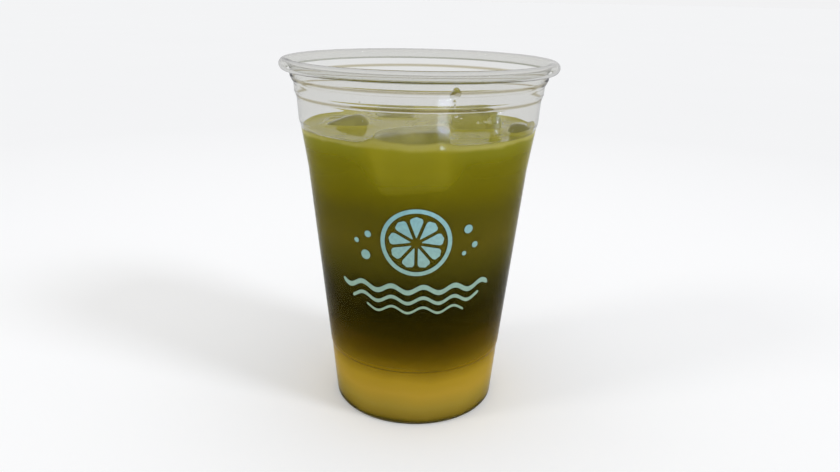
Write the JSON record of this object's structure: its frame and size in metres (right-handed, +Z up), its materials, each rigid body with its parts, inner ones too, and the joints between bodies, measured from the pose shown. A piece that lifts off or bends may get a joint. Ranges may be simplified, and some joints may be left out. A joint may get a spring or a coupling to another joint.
{
  "type": "iced matcha lemonade in a clear cup",
  "caption": "Clear plastic cold cup with a rolled rim, filled with green matcha over golden lemonade, with ice cubes breaking the surface.",
  "frame": {"origin": "centre of the foot ring, on the surface the cup stands on", "axes": "+Z up along the cup's axis; the printed side faces -Y"},
  "size_m": [0.095, 0.095, 0.1262],
  "materials": {
    "clear_pet": "clear thermoformed PET sheet",
    "print_ink": "printed ink",
    "lemonade": "clear golden liquid",
    "matcha": "cloudy green liquid",
    "ice": "wet melting ice"
  },
  "bodies": {
    "root": {"cup": "clear_pet", "lemonade": "lemonade", "matcha": "matcha", "ice_front": "ice", "ice_left": "ice", "ice_middle": "ice", "ice_right": "ice", "ice_side": "ice"}
  },
  "joints": []
}
